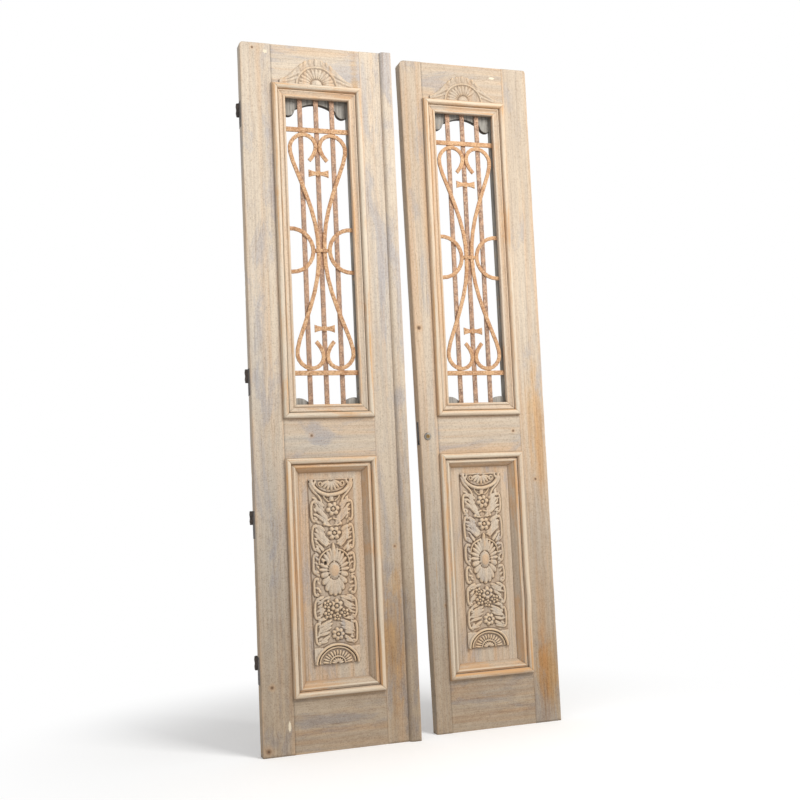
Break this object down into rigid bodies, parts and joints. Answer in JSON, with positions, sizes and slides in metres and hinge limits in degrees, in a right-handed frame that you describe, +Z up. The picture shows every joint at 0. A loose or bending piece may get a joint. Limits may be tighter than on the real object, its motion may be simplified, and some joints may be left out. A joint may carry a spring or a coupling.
{
  "type": "double door",
  "caption": "Old double door: two pine frame-and-panel leaves with carved plaques, carved crests, mitred mouldings, iron grilles and small casements behind them.",
  "frame": {"origin": "middle of the pair's outline on the floor", "axes": "+X across the pair from the left leaf to the right, +Y from the carved faces to the backs, +Z up"},
  "size_m": [1.064, 0.12, 2.3],
  "materials": {
    "old_pine": "bare weathered pine with traces of grey limewash",
    "panel_pine": "bare pine, darker in the recess",
    "carved_pine": "hand carved pine, stripped and dusty",
    "moulding_pine": "stripped pine with honey-coloured crests",
    "grey_painted_wood": "worn grey paint",
    "rusty_iron": "dry rust on flat bar",
    "dark_iron": "dark oxidised iron",
    "worn_steel": "worn and dull",
    "worn_brass": "tarnished"
  },
  "bodies": {
    "door_leaves": {"left_hinge_stile": "old_pine", "left_meeting_stile": "old_pine", "left_top_rail": "old_pine", "left_lock_rail": "old_pine", "left_bottom_rail": "old_pine", "left_lower_panel": "panel_pine", "left_carved_plaque": "carved_pine", "left_crest_carving": "carved_pine", "left_upper_moulding_sides": "moulding_pine", "left_upper_moulding_ends": "moulding_pine", "left_lower_moulding_sides": "moulding_pine", "left_lower_moulding_ends": "moulding_pine", "left_grille_uprights": "rusty_iron", "left_grille_crossbars": "rusty_iron", "left_grille_scrolls": "rusty_iron", "left_grille_hoops": "rusty_iron", "left_grille_bow_ties": "rusty_iron", "left_grille_collar": "rusty_iron", "left_door_hinges": "dark_iron", "left_screws": "dark_iron", "left_casement_hinge_pins": "dark_iron", "right_hinge_stile": "old_pine", "right_meeting_stile": "old_pine", "right_top_rail": "old_pine", "right_lock_rail": "old_pine", "right_bottom_rail": "old_pine", "right_lower_panel": "panel_pine", "right_carved_plaque": "carved_pine", "right_crest_carving": "carved_pine", "right_upper_moulding_sides": "moulding_pine", "right_upper_moulding_ends": "moulding_pine", "right_lower_moulding_sides": "moulding_pine", "right_lower_moulding_ends": "moulding_pine", "right_grille_uprights": "rusty_iron", "right_grille_crossbars": "rusty_iron", "right_grille_scrolls": "rusty_iron", "right_grille_hoops": "rusty_iron", "right_grille_bow_ties": "rusty_iron", "right_grille_collar": "rusty_iron", "right_door_hinges": "dark_iron", "right_screws": "dark_iron", "right_casement_hinge_pins": "dark_iron", "left_cover_strip": "old_pine", "left_strike_plate": "dark_iron", "left_bolt_guides": "dark_iron", "right_lock_case": "dark_iron", "right_lock_cylinder": "worn_steel"},
    "left_casement": {"left_casement_stiles": "grey_painted_wood", "left_casement_rails": "grey_painted_wood", "left_casement_hinge_leaves": "dark_iron"},
    "right_casement": {"right_casement_stiles": "grey_painted_wood", "right_casement_rails": "grey_painted_wood", "right_casement_hinge_leaves": "dark_iron"},
    "left_turn_button": {"left_turn_button": "dark_iron"},
    "right_turn_button": {"right_turn_button": "dark_iron"},
    "key_plug": {"right_key_plug": "worn_brass"},
    "dead_bolt": {"right_dead_bolt": "worn_steel"},
    "top_bolt": {"left_top_bolt": "dark_iron"},
    "bottom_bolt": {"left_bottom_bolt": "dark_iron"}
  },
  "joints": [
    {"name": "left_casement_hinge", "type": "hinge", "parent": "door_leaves", "child": "left_casement", "pos_m": [-0.42, 0.006, 1.612], "axis": [0, 0, 1], "range_deg": [0, 100]},
    {"name": "right_casement_hinge", "type": "hinge", "parent": "door_leaves", "child": "right_casement", "pos_m": [0.426, 0.047, 1.612], "axis": [0, 0, -1], "range_deg": [0, 100]},
    {"name": "left_button_turn", "type": "hinge", "parent": "door_leaves", "child": "left_turn_button", "pos_m": [-0.1015, 0.0038, 1.612], "axis": [0, 1, 0], "range_deg": [0, 90]},
    {"name": "right_button_turn", "type": "hinge", "parent": "door_leaves", "child": "right_turn_button", "pos_m": [0.1075, 0.0448, 1.612], "axis": [0, 1, 0], "range_deg": [0, 90]},
    {"name": "key_plug_turn", "type": "hinge", "parent": "door_leaves", "child": "key_plug", "pos_m": [0.08326, -0.003, 0.989], "axis": [0, 1, 0], "range_deg": [0, 180]},
    {"name": "dead_bolt_slide", "type": "slide", "parent": "door_leaves", "child": "dead_bolt", "axis": [-1, 0, 0], "range_m": [0, 0.018]},
    {"name": "top_bolt_slide", "type": "slide", "parent": "door_leaves", "child": "top_bolt", "axis": [0, 0, 1], "range_m": [0, 0.02]},
    {"name": "bottom_bolt_slide", "type": "slide", "parent": "door_leaves", "child": "bottom_bolt", "axis": [0, 0, -1], "range_m": [0, 0.02]}
  ],
  "couplings": [
    {"joint": "key_plug_turn", "follows": "dead_bolt_slide", "rad_per_m": 174.53}
  ]
}
